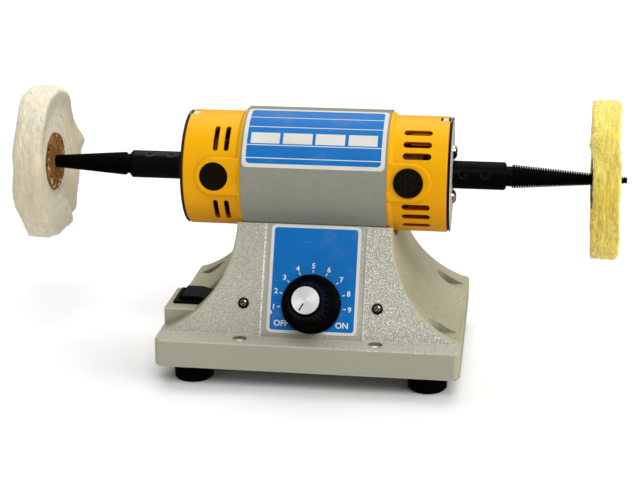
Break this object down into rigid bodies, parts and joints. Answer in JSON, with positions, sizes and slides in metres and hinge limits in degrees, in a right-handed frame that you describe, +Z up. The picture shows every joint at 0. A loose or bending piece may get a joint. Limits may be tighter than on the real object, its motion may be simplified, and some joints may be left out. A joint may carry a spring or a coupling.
{
  "type": "bench polishing machine",
  "caption": "Small double-ended bench polishing lathe: cast pedestal with speed knob and rocker switch, vented motor, threaded taper spindles and cloth buffs.",
  "frame": {"origin": "On the bench, under the middle of the motor axis, level with the undersides of the rubber feet.", "axes": "+X runs along the motor axis to the right seen from the front, -Y is the front with the knob, +Z is up."},
  "size_m": [0.394, 0.1585, 0.175],
  "materials": {
    "casting_paint": "grey-green hammertone enamel",
    "barrel_paint": "satin grey-green paint",
    "cap_paint": "golden yellow enamel",
    "label_print": "printed blue label with an off-white border",
    "black_rubber": "matte black rubber",
    "black_steel": "black oxide, oiled",
    "polished_steel": "polished",
    "plated_steel": "zinc plated",
    "sheet_steel": "painted sheet",
    "black_plastic": "fine matte",
    "brown_plastic": "moulded, satin",
    "silver_disc": "spun bright",
    "lamination": "stacked steel sheet",
    "copper": "enamelled wire and bare bars",
    "brass": "turned",
    "carbon": "pressed carbon",
    "board": "circuit board",
    "white_cotton": "unbleached cotton, stitched",
    "yellow_cotton": "yellow treated cotton, stitched",
    "leather": "rough leather"
  },
  "bodies": {
    "machine": {"base_casting": "casting_paint", "bottom_plate": "sheet_steel", "rubber_feet": "black_rubber", "foot_screws": "plated_steel", "front_label": "label_print", "front_screws": "plated_steel", "board_spacers": "brass", "speed_board": "board", "board_components": "black_plastic", "board_screws": "plated_steel", "pot_body": "plated_steel", "pot_nut": "plated_steel", "switch_housing": "black_plastic", "switch_terminals": "brass", "cord_grommet": "black_rubber", "saddle_bolts": "plated_steel", "motor_barrel": "barrel_paint", "top_label": "label_print", "left_end_cap": "cap_paint", "right_end_cap": "cap_paint", "boss_plugs": "brown_plastic", "left_end_plate": "polished_steel", "right_end_plate": "polished_steel", "end_seals": "black_rubber", "end_plate_screws": "polished_steel", "tie_bolts": "plated_steel", "tie_nuts": "plated_steel", "stator_core": "lamination", "field_coils": "copper", "bearing_outer_rings": "polished_steel", "brush_holders": "brown_plastic", "carbon_brushes": "carbon", "brush_springs": "plated_steel", "brush_caps": "brown_plastic"},
    "rotor": {"motor_shaft": "plated_steel", "armature_core": "lamination", "armature_winding": "copper", "commutator": "copper", "cooling_fan": "black_plastic", "bearing_inner_rings": "polished_steel", "left_spindle": "black_steel", "right_spindle": "black_steel", "spindle_set_screws": "black_steel", "left_buff": "white_cotton", "right_buff": "yellow_cotton", "left_leather_discs": "leather", "right_leather_discs": "leather"},
    "balls": {"bearing_balls": "polished_steel"},
    "knob": {"speed_knob": "black_plastic", "knob_disc": "silver_disc", "pot_shaft": "plated_steel", "knob_grub_screw": "plated_steel"},
    "rocker": {"switch_rocker": "black_plastic"}
  },
  "joints": [
    {"name": "rotor_spin", "type": "hinge", "parent": "machine", "child": "rotor", "pos_m": [0, 0, 0.125], "axis": [1, 0, 0], "continuous": true},
    {"name": "balls_roll", "type": "hinge", "parent": "machine", "child": "balls", "pos_m": [0, 0, 0.125], "axis": [1, 0, 0], "continuous": true},
    {"name": "knob_turn", "type": "hinge", "parent": "machine", "child": "knob", "pos_m": [0.0009, -0.05065, 0.05115], "axis": [0, 0.9077, -0.4196], "range_deg": [0, 300]},
    {"name": "rocker_tilt", "type": "hinge", "parent": "machine", "child": "rocker", "pos_m": [-0.0765, -0.025, 0.0405], "axis": [0, -1, 0], "range_deg": [0, 16]}
  ],
  "couplings": [
    {"joint": "balls_roll", "follows": "rotor_spin", "ratio": 0.368}
  ]
}
